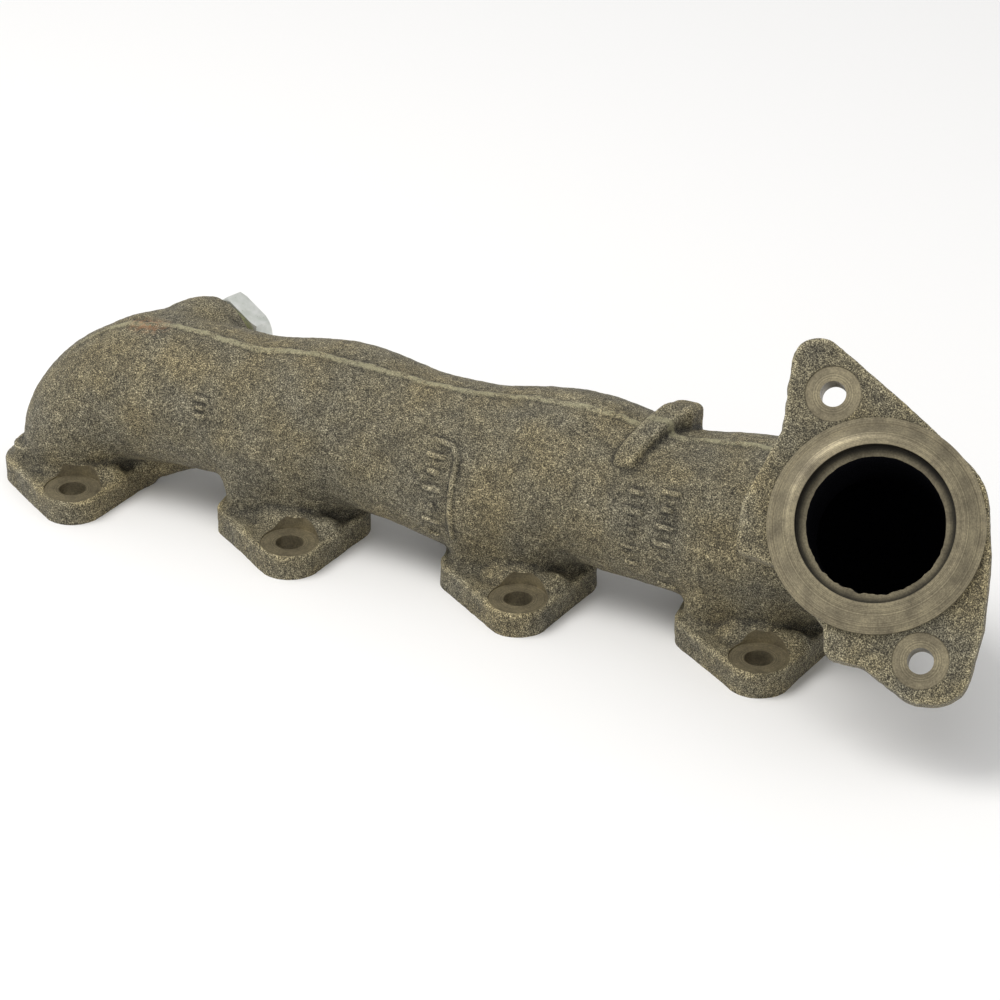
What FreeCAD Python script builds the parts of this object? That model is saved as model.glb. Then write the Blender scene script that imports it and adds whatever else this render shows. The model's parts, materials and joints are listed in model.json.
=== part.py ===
import FreeCAD, Part
import math
import os

V = FreeCAD.Vector
Z_AXIS = V(0, 0, 1)
X_AXIS = V(1, 0, 0)

# Driving dimensions, in millimetres. X runs along the port row, Y away from the stud nuts nearest
# the user, Z up from the port faces. The origin is the centre of port 1 on its gasket face.

# Port row
port_count = 4
port_pitch = 100.0
stud_from_port = V(17.0, -26.0, 0)
stud_hole_radius = 5.5
spotface_radius = 11.6
spotface_reach = 9.0
spotface_height = 10.0

# Port flange: a rounded lozenge, given by its four corner circles (x, y, radius)
flange_thickness = 10.5
flange_corners = [(17.0, -26.0, 12.4), (19.0, 7.5, 14.5), (-17.0, 26.0, 11.5), (-13.0, -8.0, 11.0)]

# Log
wall = 5.5
log_radius = 29.8
log_y = 15.0
log_z = 42.6
log_start_x = 48.0

# Swept elbow from port 1 into the log: centre x, y, z, direction x, y, z, outer radius
elbow_sections = [
    (0.0, 0.0, 8.0, 0.0, 0.0, 1.0, 22.0),
    (1.5, 2.0, 17.0, 0.3, 0.2, 1.0, 22.8),
    (7.0, 6.0, 26.0, 0.6, 0.35, 0.75, 24.8),
    (16.5, 11.0, 35.0, 0.8, 0.35, 0.55, 27.2),
    (31.0, 14.0, 40.3, 0.95, 0.15, 0.3, 29.2),
    (48.0, 15.0, 42.6, 1.0, 0.0, 0.0, 29.8),
]

# Runners: upright tubes from the flange into the log, with a flared foot on the flange
runner_corners = [(11.5, -3.0, 9.6), (18.0, 7.5, 10.0), (-10.0, 15.0, 9.5), (-13.0, -7.5, 7.5)]
foot_flare = 3.2
foot_height = 8.0
port_1_column_height = 16.0

# Rear bulges where the runner roofs stand out of the log: centre x, y, z and half length, radius
bulges = [
    (121.0, 19.5, 46.9, 45.0, 28.0),
    (223.0, 20.0, 48.3, 48.0, 28.0),
    (306.0, 17.0, 47.0, 50.0, 29.0),
]

# Parting ridge along the crown of the log
ridge_width = 2.6
ridge_height = 0.7

# Outlet: centre of the seat base, direction, neck bend
outlet_centre = V(364.3, -36.7, 83.8)
outlet_elevation = 38.0
outlet_yaw = 14.0
plate_thickness = 12.0
outlet_hole_offset = V(-21.0, 46.5, 0)
outlet_hole_radius = 4.75
outlet_spotface_radius = 10.3
outlet_spotface_depth = 0.6
outlet_bore_radius = 25.0
neck_leg = 34.0
seat_base_radius = 39.3
seat_nose_radius = 31.5
seat_height = 7.0
seat_recess_radius = 28.8
seat_recess_depth = 4.9
plate_corners = [
    (-37.0, 66.5, 9.0), (-24.5, 67.0, 9.0), (13.5, 39.5, 30.0), (37.5, 20.5, 24.0),
    (41.8, -6.0, 20.0), (41.8, -33.0, 20.0), (37.0, -61.5, 13.0), (18.5, -62.0, 14.0),
    (0.0, -50.5, 6.0), (-13.5, -49.0, 5.0), (-15.0, -38.0, 2.0), (-34.5, -18.0, 4.0),
    (-49.5, -14.0, 3.0), (-49.0, 4.0, 12.0), (-37.5, 33.0, 8.0),
]

# Boss and tube adapter of the gas recirculation pipe
boss_yaw = 20.0
boss_face = V(46.8, 49.1, 48.2)
boss_radius = 17.5
boss_shoulder_radius = 20.5
boss_shoulder_length = 9.0
boss_root = V(33.0, 19.0, 45.0)
boss_root_radius = 25.0
boss_facing_reach = 15.0
boss_passage_length = 28.0
thread_radius = 13.0
thread_depth = 12.0
thread_gap = 3.5
hex_across_flats = 33.3
hex_thickness = 9.0
hex_roll = 38.0
hex_chamfer_slope = 1.7
tube_socket_radius = 10.5
tube_socket_depth = 7.0
tube_passage_radius = 8.0

# Lug over the log near the outlet: plan corners (x, y, radius) and side profile (y, z, radius)
lug_plan = [
    (253.5, -12.0, 2.0), (259.5, -12.0, 2.0), (266.0, 22.0, 4.0), (266.5, 37.0, 5.0),
    (251.5, 37.0, 6.0), (246.5, 12.0, 6.0),
]
lug_profile = [
    (-12.0, 50.0, 1.0), (-12.0, 60.0, 2.0), (-3.0, 70.0, 6.0), (7.0, 76.5, 8.0),
    (24.0, 79.5, 6.0), (37.0, 77.0, 5.0), (38.0, 50.0, 1.0),
]

outlet_up = math.radians(outlet_elevation)
outlet_turn = math.radians(outlet_yaw)
outlet_axis = V(
    math.sin(outlet_turn) * math.cos(outlet_up),
    -math.cos(outlet_turn) * math.cos(outlet_up),
    math.sin(outlet_up),
)
boss_turn = math.radians(boss_yaw)
boss_axis = V(math.sin(boss_turn), math.cos(boss_turn), 0)


def port_centres():
    return [V(index * port_pitch, 0, 0) for index in range(port_count)]


def outlet_placement():
    """Placement whose local X is to the right of the outlet, Y up its face and Z out of it."""
    side = outlet_axis.cross(Z_AXIS).normalize() * -1
    if side.x < 0:
        side = side * -1
    up = outlet_axis.cross(side)
    return FreeCAD.Placement(outlet_centre, FreeCAD.Rotation(side, up, outlet_axis, "ZXY"))


def rounded_outline(corners):
    """Closed face with straight sides and one arc at each corner, given as (x, y, radius)."""
    edges = []
    count = len(corners)
    tangent_pairs = []
    for index in range(count):
        x, y, radius = corners[index]
        here = V(x, y, 0)
        before = V(corners[index - 1][0], corners[index - 1][1], 0)
        after = V(corners[(index + 1) % count][0], corners[(index + 1) % count][1], 0)
        back = (before - here).normalize()
        ahead = (after - here).normalize()
        half = back.getAngle(ahead) / 2
        reach = radius / math.tan(half)
        middle = here + (back + ahead).normalize() * (radius / math.sin(half) - radius)
        tangent_pairs.append((here + back * reach, middle, here + ahead * reach))
    for index in range(count):
        start, middle, end = tangent_pairs[index]
        edges.append(Part.Arc(start, middle, end).toShape())
        following = tangent_pairs[(index + 1) % count][0]
        edges.append(Part.makeLine(end, following))
    return Part.Face(Part.Wire(edges))


def hull_outline(circles):
    """Face bounded by the belt around a ring of circles, listed anticlockwise as (x, y, radius)."""
    edges = []
    count = len(circles)
    touches = []
    for index in range(count):
        x1, y1, r1 = circles[index]
        x2, y2, r2 = circles[(index + 1) % count]
        distance = math.hypot(x2 - x1, y2 - y1)
        heading = math.atan2(y2 - y1, x2 - x1)
        normal = heading - math.acos((r1 - r2) / distance)
        out = V(math.cos(normal), math.sin(normal), 0)
        touches.append((V(x1, y1, 0) + out * r1, V(x2, y2, 0) + out * r2, out))
    for index in range(count):
        start, end, out = touches[index]
        edges.append(Part.makeLine(start, end))
        x, y, radius = circles[(index + 1) % count]
        next_start, _, next_out = touches[(index + 1) % count]
        middle = V(x, y, 0) + (out + next_out).normalize() * radius
        edges.append(Part.Arc(end, middle, next_start).toShape())
    return Part.Face(Part.Wire(edges))


def circle_wire(centre, direction, radius):
    return Part.Wire(Part.Circle(centre, direction, radius).toShape())


def elbow_tube(shrink):
    wires = []
    for x, y, z, dx, dy, dz, radius in elbow_sections:
        wires.append(circle_wire(V(x, y, z), V(dx, dy, dz), radius - shrink))
    return Part.makeLoft(wires, True)


def log_tube(shrink):
    start = V(log_start_x, log_y, log_z)
    return Part.makeCylinder(log_radius - shrink, neck_start().x - log_start_x, start, X_AXIS)


def neck_corner():
    """Point of the log axis that the outlet axis comes nearest to."""
    steps_back = (outlet_centre.z - log_z) / outlet_axis.z
    meet = outlet_centre - outlet_axis * steps_back
    return V(meet.x, log_y, log_z)


def neck_start():
    """Point of the log axis where the neck starts to bend toward the outlet."""
    return neck_corner() - X_AXIS * neck_leg


def neck_tube(shrink):
    """Bend from the log toward the outlet, then a straight length up to the outlet plate."""
    turn = X_AXIS.getAngle(outlet_axis)
    start = neck_start()
    hinge = X_AXIS.cross(outlet_axis).normalize()
    inward = hinge.cross(X_AXIS).normalize()
    pivot = start + inward * (neck_leg / math.tan(turn / 2))
    radius = log_radius - shrink
    disc = Part.Face(circle_wire(start, X_AXIS, radius))
    bend = disc.revolve(pivot, hinge, math.degrees(turn))
    bend_end = neck_corner() + outlet_axis * neck_leg
    rise = outlet_centre - bend_end
    return bend, Part.makeCylinder(radius, rise.Length, bend_end, rise)


def port_flange(centre):
    flange = hull_outline(flange_corners).extrude(V(0, 0, flange_thickness))
    flange.translate(centre)
    return flange


def runner(centre, shrink, bottom, top):
    """Upright column over one port, or its bore when shrunk by the wall."""
    corners = [(x, y, radius - shrink) for x, y, radius in runner_corners]
    column = hull_outline(corners).extrude(V(0, 0, top - bottom))
    column.translate(centre + Z_AXIS * bottom)
    return column


def runner_foot(centre):
    """Flare that spreads the runner onto its flange."""
    spread = [(x, y, radius + foot_flare) for x, y, radius in runner_corners]
    low = hull_outline(spread).OuterWire
    high = hull_outline(runner_corners).OuterWire
    low.translate(centre + Z_AXIS * flange_thickness)
    high.translate(centre + Z_AXIS * (flange_thickness + foot_height))
    return Part.makeLoft([low, high], True, True)


def bulge(x, y, z, half_length, radius):
    ball = Part.makeSphere(radius)
    stretch = FreeCAD.Matrix()
    stretch.scale(half_length / radius, 1, 1)
    ball = ball.transformGeometry(stretch)
    ball.translate(V(x, y, z))
    return ball


def ridge():
    log_length = neck_start().x - log_start_x
    start = V(log_start_x, log_y, log_z)
    crown = Part.makeCylinder(log_radius + ridge_height, log_length, start, X_AXIS)
    slab = Part.makeBox(log_length, ridge_width, log_radius * 2, start - V(0, ridge_width / 2, 0))
    return crown.common(slab)


def recirculation_boss():
    root = circle_wire(boss_root, boss_face - boss_root, boss_root_radius)
    shoulder = circle_wire(boss_face - boss_axis * boss_shoulder_length, boss_axis, boss_shoulder_radius)
    face = circle_wire(boss_face, boss_axis, boss_radius)
    return Part.makeLoft([root, shoulder, face], True)


def lug():
    top_z = log_z + 2 * log_radius
    block = rounded_outline(lug_plan).extrude(V(0, 0, top_z))
    profile = rounded_outline(lug_profile).extrude(V(0, 0, 2 * log_radius))
    stand = FreeCAD.Rotation(V(0, 1, 0), Z_AXIS, X_AXIS, "ZXY")
    profile.Placement = FreeCAD.Placement(V(lug_plan[0][0] - log_radius, 0, 0), stand)
    return block.common(profile)


def outlet_plate():
    return rounded_outline(plate_corners).extrude(V(0, 0, -plate_thickness))


def outlet_seat():
    """Conical gasket seat standing on the plate."""
    return Part.makeCone(seat_base_radius, seat_nose_radius, seat_height)


def outlet_cuts():
    behind = Z_AXIS * -(plate_thickness + 1)
    recess_bottom = seat_height - seat_recess_depth
    bore_length = recess_bottom + plate_thickness + 2
    cuts = [
        Part.makeCylinder(seat_recess_radius, seat_recess_depth + 1, Z_AXIS * recess_bottom),
        Part.makeCylinder(outlet_bore_radius, bore_length, behind),
    ]
    for hole in (outlet_hole_offset, outlet_hole_offset * -1):
        cuts.append(Part.makeCylinder(outlet_hole_radius, plate_thickness + 2, hole + behind))
        spotface_floor = hole - Z_AXIS * outlet_spotface_depth
        cuts.append(Part.makeCylinder(outlet_spotface_radius, seat_height, spotface_floor))
    return cuts


def stud_cuts(centre):
    near = centre + stud_from_port
    far = centre - stud_from_port
    cuts = []
    for stud in (near, far):
        cuts.append(Part.makeCylinder(stud_hole_radius, spotface_height + 2, stud - Z_AXIS))
        cuts.append(Part.makeCylinder(spotface_radius, spotface_reach, stud + Z_AXIS * spotface_height))
    return cuts


def placed(shape, placement):
    shape.Placement = placement.multiply(shape.Placement)
    return shape


def manifold_casting():
    at_outlet = outlet_placement()
    body = [elbow_tube(0), log_tube(0), ridge(), recirculation_boss(), lug()]
    body.extend(neck_tube(0))
    body.append(placed(outlet_plate(), at_outlet))
    body.append(placed(outlet_seat(), at_outlet))
    body.extend(bulge(*size) for size in bulges)
    hollow = [elbow_tube(wall), log_tube(wall)]
    hollow.extend(neck_tube(wall))
    hollow.extend(placed(cut, at_outlet) for cut in outlet_cuts())
    for index, centre in enumerate(port_centres()):
        body.extend([port_flange(centre), runner_foot(centre)])
        column_top = log_z if index else port_1_column_height
        body.append(runner(centre, 0, 0, column_top))
        hollow.append(runner(centre, wall, -1, column_top - wall))
        hollow.extend(stud_cuts(centre))
    shank = Part.makeCylinder(thread_radius, thread_depth, boss_face - boss_axis * thread_depth, boss_axis)
    facing = Part.makeCylinder(boss_shoulder_radius, boss_facing_reach, boss_face, boss_axis)
    passage = Part.makeCylinder(tube_passage_radius, boss_passage_length, boss_face, boss_axis * -1)
    hollow.extend([shank, facing, passage])
    casting = body[0].multiFuse(body[1:])
    for space in hollow:
        casting = casting.cut(space)
    if len(casting.Solids) != 1:
        raise ValueError("the casting fell into separate pieces")
    return casting.Solids[0]


def tube_adapter():
    """Hexagon fitting: thread into the boss, chamfered hexagon, tube socket, through passage."""
    shank_start = boss_face - boss_axis * (thread_depth - 1)
    shank_length = thread_depth - 1 + thread_gap
    hex_start = boss_face + boss_axis * thread_gap
    hex_end = hex_start + boss_axis * hex_thickness
    shank = Part.makeCylinder(thread_radius, shank_length, shank_start, boss_axis)
    corner_radius = hex_across_flats / math.sqrt(3)
    level = V(boss_axis.y, -boss_axis.x, 0)
    corners = []
    for index in range(7):
        angle = math.radians(60 * index + hex_roll)
        spoke = level * math.cos(angle) + Z_AXIS * math.sin(angle)
        corners.append(hex_start + spoke * corner_radius)
    hexagon = Part.Face(Part.makePolygon(corners)).extrude(boss_axis * hex_thickness)
    narrow = hex_across_flats / 2
    broad = narrow + hex_thickness * hex_chamfer_slope
    trim_near = Part.makeCone(narrow, broad, hex_thickness, hex_start, boss_axis)
    trim_far = Part.makeCone(broad, narrow, hex_thickness, hex_start, boss_axis)
    body = shank.fuse(hexagon.common(trim_near).common(trim_far))
    passage = Part.makeCylinder(tube_passage_radius, shank_length + hex_thickness, shank_start, boss_axis)
    socket = Part.makeCylinder(tube_socket_radius, tube_socket_depth, hex_end, boss_axis * -1)
    return body.cut([passage, socket])


os.makedirs("parts", exist_ok=True)
manifold_casting().exportStep("parts/manifold_casting.step")
tube_adapter().exportStep("parts/egr_tube_adapter.step")
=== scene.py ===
"""Exhaust manifold: a rough sand casting with machined faces, and a plated tube adapter.

The casting is built the way a pattern maker would: tubes, flanges and lugs are melted together in
a block of "clay" (a signed distance field, in millimetres), the gas passages are hollowed out, and
then the machined faces are cut into the rough mesh with exact round tools.
"""
import json
import math

import bmesh
import bpy
import numpy as np
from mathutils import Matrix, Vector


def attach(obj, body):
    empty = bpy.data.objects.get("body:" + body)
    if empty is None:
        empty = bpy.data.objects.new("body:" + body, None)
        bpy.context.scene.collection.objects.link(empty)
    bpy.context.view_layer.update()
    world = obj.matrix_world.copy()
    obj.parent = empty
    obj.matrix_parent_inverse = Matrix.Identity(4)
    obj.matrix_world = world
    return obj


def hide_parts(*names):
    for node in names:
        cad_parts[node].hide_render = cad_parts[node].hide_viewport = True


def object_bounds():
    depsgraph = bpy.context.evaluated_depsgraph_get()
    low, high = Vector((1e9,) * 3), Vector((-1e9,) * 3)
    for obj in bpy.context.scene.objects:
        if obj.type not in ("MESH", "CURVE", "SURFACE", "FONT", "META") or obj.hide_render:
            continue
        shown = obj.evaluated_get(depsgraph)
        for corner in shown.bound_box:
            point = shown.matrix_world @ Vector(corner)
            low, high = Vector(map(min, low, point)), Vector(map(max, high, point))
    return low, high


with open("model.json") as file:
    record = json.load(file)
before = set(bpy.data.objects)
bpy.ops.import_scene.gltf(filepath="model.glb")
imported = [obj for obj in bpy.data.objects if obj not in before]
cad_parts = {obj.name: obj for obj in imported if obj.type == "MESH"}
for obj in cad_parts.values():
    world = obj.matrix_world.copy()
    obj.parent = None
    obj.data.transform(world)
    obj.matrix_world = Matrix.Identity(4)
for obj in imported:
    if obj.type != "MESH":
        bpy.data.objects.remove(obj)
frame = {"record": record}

import openvdb
from mathutils import Matrix, Vector

cad_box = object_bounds()
MM = 0.001
record = frame["record"]
mounts = {mount["name"]: mount for mount in record["mounts"]}

# ---------------------------------------------------------------- dimensions, in millimetres

CLAY_STEP = 0.65
CLAY_MARGIN = 3
FAR = 8.0

# Outlines are circles (x, y, radius) with a belt round them.
COLUMN_START = -4.0
UNDERCUT_X = 190.0
UNDERCUT_RADIUS = 400.0
UNDERCUT_START = -12.0

FLANGE_TOP = 10.5
FLANGE_CORNERS = [(17.0, -26.0, 12.4), (19.0, 7.5, 14.5), (-17.0, 26.0, 11.5), (-13.0, -8.0, 11.0)]
FLANGE_EDGE = 1.2
RUNNER_EDGE = 0.5
RUNNER_MELT = 10.0
RUNNER_CORNERS = [(11.5, -3.0, 9.6), (18.0, 7.5, 10.0), (-10.0, 15.0, 9.5), (-13.0, -7.5, 7.5)]
STUD_OFFSET = Vector((17.0, -26.0, 0.0))
STUD_HOLE_RADIUS = 5.5
STUD_HOLE_START = -5.0
SPOTFACE_RADIUS = 11.6
SPOTFACE_FLOOR = 10.0
NEAR, FAR_SIDE = 1, -1
SPOTFACE_REACH = {NEAR: 5.5, FAR_SIDE: 16.0}

WALL = 5.5
LOG_RADIUS = 29.8
LOG_Y = 15.0
LOG_Z = 42.6
LOG_START_X = 48.0
ELBOW = [
    ((2.0, 0.5, 8.0), 18.5),
    ((2.5, 2.0, 17.0), 21.4),
    ((7.0, 6.0, 26.0), 24.8),
    ((16.5, 11.0, 35.0), 27.2),
    ((31.0, 14.0, 40.3), 29.2),
    ((LOG_START_X, LOG_Y, LOG_Z), LOG_RADIUS),
]
PORT_1_COLUMN_TOP = 16.0
PORT_1_MELT = 3.0
FOOT_MELT = 4.0
# Land behind the near spotface, along the foot of the runner.
FOOT_LAND = [(3.0, -14.0, 9.0), (13.0, -13.0, 9.5), (25.0, -11.0, 9.0)]
FOOT_LAND_RADIUS = 6.0
FOOT_LAND_MELT = 3.0
DUCT_START = -9.0
DUCT_EDGE = 1.0
DUCT_MELT = 6.0
# Short limbs that fill a hollow: two ends, a radius at each, and the melt.
WEBS = [
    ((26.0, 8.0, 6.0), (50.0, 14.0, 16.0), 7.0, 7.0, 6.0),
    ((146.0, 13.0, 40.0), (185.0, 9.0, 34.5), 27.5, 27.0, 3.0),
    ((246.0, 13.0, 40.0), (285.0, 10.0, 37.0), 28.0, 25.8, 3.0),
]
# Unevenness along the plate's edge: across, up, out and radius.
PLATE_LUMPS = [
    (-36.3, 27.0, -7.5, 3.2), (-34.9, 34.0, -6.5, 3.1), (-34.6, 41.0, -7.5, 3.1),
    (-34.7, 48.0, -6.0, 3.2), (-34.4, 55.0, -7.5, 2.8),
]
PLATE_LUMP_LENGTH = 2
PLATE_LUMP_MELT = 1.5
BULGE_MELT = 8.0
# Eggs along the log: centre, half length and radius.
BULGES = [
    ((121.0, 19.5, 46.9), 45.0, 28.0),
    ((223.0, 20.0, 48.3), 48.0, 28.0),
    ((306.0, 17.0, 47.0), 50.0, 29.0),
]
# Fullness in front, where each runner leaves the log.
RUNNER_SHOULDERS = [(113.0, 5.0, 55.0), (215.0, 5.0, 55.0), (309.0, 5.0, 55.0)]
RUNNER_SHOULDER_LENGTH = 24.0
RUNNER_SHOULDER_RADIUS = 16.5
SEAM_WIDTH = 2.6
SEAM_HEIGHT = 0.45
SEAM_START_X = 2.0
SEAM_END_X = 330.0
SEAM_LOWEST_Z = 52
SEAM_MELT = 0.8
SEAM_FADE = 15
SEAM_WAVES = [(0.5, 7.3), (0.3, 2.9)]
SEAM_PATH = [(0, 3), (16, 10), (45, 13), (80, 10), (105, 10), (150, 12), (190, 14), (330, 14)]
MARK_RADIUS = 1.0
MARK_MELT = 0.4
MARK_STEP_DEGREES = 4
MARK_LIFT = 0.1
# Foundry marks, seen from the front: borders are corners (x, height); columns hold bars and dots.
MARK_BORDERS = [[(184, -30), (184, 28), (181, 36), (173, 38)]]
MARK_COLUMNS = [
    (175.0, 26.0, -34.0, [6.0, 3.0, 6.0, 0.5, 6.0, 3.0]),
    (259.0, 33.0, -22.0, [4.0, 6.0, 0.5, 6.0, 4.0]),
    (272.5, 38.0, -38.0, [6.0, 3.0, 6.0, 6.0, 0.5, 3.0, 6.0]),
    (70.5, 27.0, 14.0, [4.0, 2.0, 4.0]),
]

OUTLET_MOUNT_DEPTH = 6.0
PLATE_THICKNESS = 12.0
PLATE_EDGE = 1.6
PLATE_MELT = 4.0
PLATE_CORNERS = [
    (-37.0, 66.5, 9.0), (-24.5, 67.0, 9.0), (13.5, 39.5, 30.0), (37.5, 20.5, 24.0),
    (41.8, -6.0, 20.0), (41.8, -33.0, 20.0), (37.0, -61.5, 13.0), (18.5, -62.0, 14.0),
    (0.0, -50.5, 6.0), (-13.5, -49.0, 5.0), (-15.0, -38.0, 2.0), (-34.5, -18.0, 4.0),
    (-49.5, -14.0, 3.0), (-49.0, 4.0, 12.0), (-37.5, 33.0, 8.0),
]
PLATE_HOLE = Vector((-21.0, 46.5, 0.0))
PLATE_HOLE_RADIUS = 4.75
PLATE_HOLE_START = -30.0
PLATE_SPOTFACE_RADIUS = 10.3
PLATE_SPOTFACE_DEPTH = 0.6
NECK_LEG = 34.0
SEAT_PROFILE = [(27.0, 2.0), (39.3, 2.0), (39.3, 0.0), (33.2, 6.3), (31.2, 7.0), (27.0, 7.0)]
SEAT_LEDGE = 2.1
SEAT_TOP = 7.0
SEAT_RECESS_RADIUS = 28.8
SEAT_CORE_RADIUS = 31.0
SEAT_CORE_TOP = 3.6
SEAT_ZONE_RADIUS = 40.5
OUTLET_BORE_RADIUS = 25.0
OUTLET_CUT_TOP = 20.0
MOUTH_DEPTH = 20
MOUTH_REACH = 30

BOSS_FACE_TO_SOCKET_MOUNT = 9.5
BOSS_MELT = 5.0
BOSS_CUT_TOP = 24.0
BOSS_ROOT = Vector((33.0, 19.0, 45.0))
BOSS_ROOT_RADIUS = 25.0
BOSS_SHOULDER = 9.0
BOSS_SHOULDER_RADIUS = 21.8
BOSS_RADIUS = 18.4
BOSS_FACING_DEPTH = 1.5
BOSS_FACING_RADIUS = 22.0
THREAD_RADIUS = 13.0
THREAD_PITCH = 1.5
THREAD_DEPTH = 0.9
THREAD_SIDES = 96
THREAD_ROWS_PER_TURN = 8
THREAD_RUN_OUT = 0.2
THREAD_INTO_HEX = 1.0
THREAD_GAP = 3.5
THREAD_IN_BOSS = 11.0
HEX_ACROSS_FLATS = 33.3
HEX_THICKNESS = 8.6
HEX_ROLL = 22.0
HEX_EDGE = 0.35
HEX_CHAMFER_START = 1.1
HEX_CHAMFER_SLOPE = 1.7
SOCKET_RADIUS = 10.5
SOCKET_DEPTH = 7.0
PASSAGE_RADIUS = 8.0

SKIN_LUMPS = [(14.0, 0.25), (4.0, 0.12), (1.7, 0.14)]
SKIN_SEED = 11
CHIP_SIZE = 1.6
CHIP_HEIGHT = 0.9
CHIP_LEAST = 0.15
CHIP_SEED = 31

LUG_PLAN = [
    (245.0, -6.0, 3.5), (254.5, -6.0, 3.5), (261.0, 12.0, 5.0), (266.5, 24.0, 4.0),
    (267.0, 37.0, 4.0), (256.5, 37.0, 4.0), (250.5, 10.0, 6.0),
]
LUG_PROFILE = [
    (-6.0, 50.0, 1.0), (-6.0, 67.5, 3.0), (3.0, 74.5, 6.0), (11.0, 78.0, 8.0),
    (24.0, 79.5, 6.0), (37.0, 77.0, 5.0), (38.0, 50.0, 1.0),
]
LUG_BOX = ((243, -8, 48), (269, 40, 82))
LUG_ROUNDING = 2.5
LUG_MELT = 1.5

SOOT_REACH = 1.4
CORNER_REACH = 1.6
CORNER_GAIN = 1.6
# Width of the band of painted shade, with some soot, beside the seat recess wall.
RECESS_SHADE_AND_SOOT_WIDTH = 1.5
RUST_SPOT = (34.0, 11.0, 72.0)
RUST_REACH = 6.0
RUST_STRETCH = (0.6, 1.0, 1.0)

# ---------------------------------------------------------------- camera and lights, in metres

CAMERA_TARGET = Vector((0.1892, 0.0152, 0.0261))
CAMERA_AZIMUTH = 26.0
CAMERA_ELEVATION = 29.0
CAMERA_DISTANCE = 1.5
CAMERA_LENS = 137.27
CAMERA_SENSOR = 36.0
LIGHT_TARGET = (0.19, 0.0, 0.04)
SKY_STRENGTH = 0.66
FLOOR_HALF_WIDTH = 3.0


# ---------------------------------------------------------------- places taken from the frame

def mount_point(name):
    """Place of a mount, in millimetres."""
    return Vector(mounts[name]["pos_m"]) / MM


def mount_axis(name):
    return Vector(mounts[name]["axis"]).normalized()


def upright_placement(origin, axis):
    """Local Z along axis, X level and to the right, Y up."""
    side = Vector((-axis.y, axis.x, 0.0)).normalized()
    up = axis.cross(side)
    turn = Matrix((side, up, axis)).transposed().to_4x4()
    return Matrix.Translation(origin) @ turn


PORTS = [mount_point(f"port_{number}_studs") for number in range(1, 5)]
OUTLET_AXIS = mount_axis("outlet_studs")
OUTLET_CENTRE = mount_point("outlet_studs") + OUTLET_AXIS * OUTLET_MOUNT_DEPTH
OUTLET = upright_placement(OUTLET_CENTRE, OUTLET_AXIS)
BOSS_AXIS = mount_axis("egr_tube_socket")
BOSS_FACE = mount_point("egr_tube_socket") - BOSS_AXIS * BOSS_FACE_TO_SOCKET_MOUNT
BOSS = upright_placement(BOSS_FACE, BOSS_AXIS)
X_AXIS = Vector((1.0, 0.0, 0.0))


# ---------------------------------------------------------------- outlines and distances

def belt(circles, turns=72):
    """Outline of the belt around some circles (x, y, radius), as points in order."""
    outline = []
    for index in range(turns):
        angle = 2 * math.pi * index / turns
        out = (math.cos(angle), math.sin(angle))
        x, y, radius = max(circles, key=lambda c: c[0] * out[0] + c[1] * out[1] + c[2])
        outline.append((x + out[0] * radius, y + out[1] * radius))
    return outline


def rounded(corners, steps=6):
    """Outline with an arc of the given radius at each corner (x, y, radius), as points in order."""
    outline = []
    count = len(corners)
    for index, (x, y, radius) in enumerate(corners):
        here = Vector((x, y))
        back = (Vector(corners[index - 1][:2]) - here).normalized()
        ahead = (Vector(corners[(index + 1) % count][:2]) - here).normalized()
        half = back.angle(ahead) / 2
        centre = here + (back + ahead).normalized() * (radius / math.sin(half))
        reach = radius / math.tan(half)
        start = here + back * reach - centre
        sweep = start.angle_signed(here + ahead * reach - centre)
        for step in range(steps + 1):
            spoke = Matrix.Rotation(-sweep * step / steps, 2) @ start
            outline.append(tuple(centre + spoke))
    return outline


def outline_distance(px, py, outline):
    """Distance from points to a closed outline, negative inside."""
    nearest = np.full(px.shape, 1e9, dtype=np.float32)
    inside = np.zeros(px.shape, dtype=bool)
    for (ax, ay), (bx, by) in zip(outline, outline[1:] + outline[:1]):
        ex, ey = bx - ax, by - ay
        length = ex * ex + ey * ey
        if length < 1e-12:
            continue
        wx, wy = px - ax, py - ay
        along = np.clip((wx * ex + wy * ey) / length, 0, 1)
        nearest = np.minimum(nearest, (wx - along * ex) ** 2 + (wy - along * ey) ** 2)
        if ey != 0:
            inside ^= ((ay > py) != (by > py)) & (wx < ex * wy / ey)
    return np.where(inside, -1, 1) * np.sqrt(nearest)


def slab(flat, along, low, high, edge):
    """Distance to an outline drawn out from low to high, with its rims rounded by edge."""
    wx = flat + edge
    wz = np.abs(along - (low + high) / 2) - (high - low) / 2 + edge
    outside = np.hypot(np.maximum(wx, 0), np.maximum(wz, 0))
    return np.minimum(np.maximum(wx, wz), 0) + outside - edge


def melt(a, b, width):
    """Smallest of two distances, with the crease between them filled over width."""
    if width <= 0:
        return np.minimum(a, b)
    near = np.maximum(width - np.abs(a - b), 0) / width
    return np.minimum(a, b) - near * near * width / 4


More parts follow.
